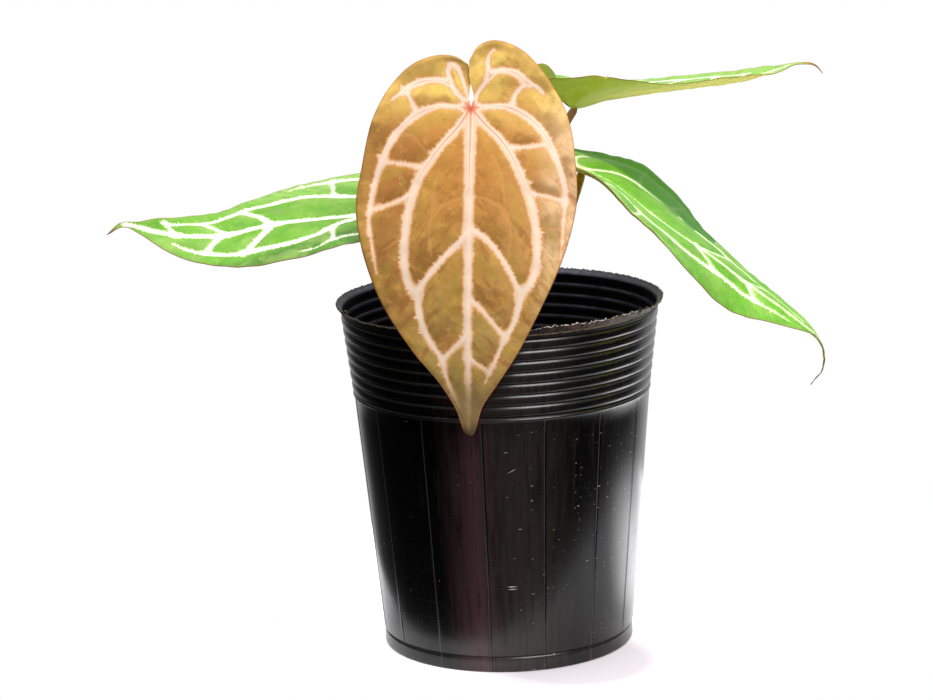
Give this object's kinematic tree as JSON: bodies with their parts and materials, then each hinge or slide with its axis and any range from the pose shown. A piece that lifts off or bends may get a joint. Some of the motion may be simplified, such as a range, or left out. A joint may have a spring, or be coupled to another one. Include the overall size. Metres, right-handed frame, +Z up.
{
  "type": "potted anthurium hybrid",
  "caption": "Aroid house plant with heart-shaped, silver-veined leaves on slender stalks, in a ribbed black nursery pot filled with bark mix.",
  "frame": {"origin": "centre of the pot's flat underside", "axes": "+Z up, +X to the right and -Y toward the viewer of the leaf that hangs in front"},
  "size_m": [0.3262, 0.1587, 0.2841],
  "materials": {
    "pot_plastic": "satin black, fine scratches and mould lines",
    "bark_mix": "rough, dry bark chunks",
    "stem": "matte, with leaf scars and roots",
    "petiole": "smooth, slightly waxy, green to red-brown",
    "young_leaf": "velvety bronze with pale pinkish veins",
    "grown_leaf": "velvety green with silver-white veins"
  },
  "bodies": {
    "root": {"pot": "pot_plastic", "growing_medium": "bark_mix", "stem": "stem", "front_petiole": "petiole", "left_petiole": "petiole", "upper_petiole": "petiole", "lower_petiole": "petiole", "front_blade": "young_leaf", "left_blade": "grown_leaf", "upper_blade": "grown_leaf", "lower_blade": "grown_leaf"}
  },
  "joints": []
}
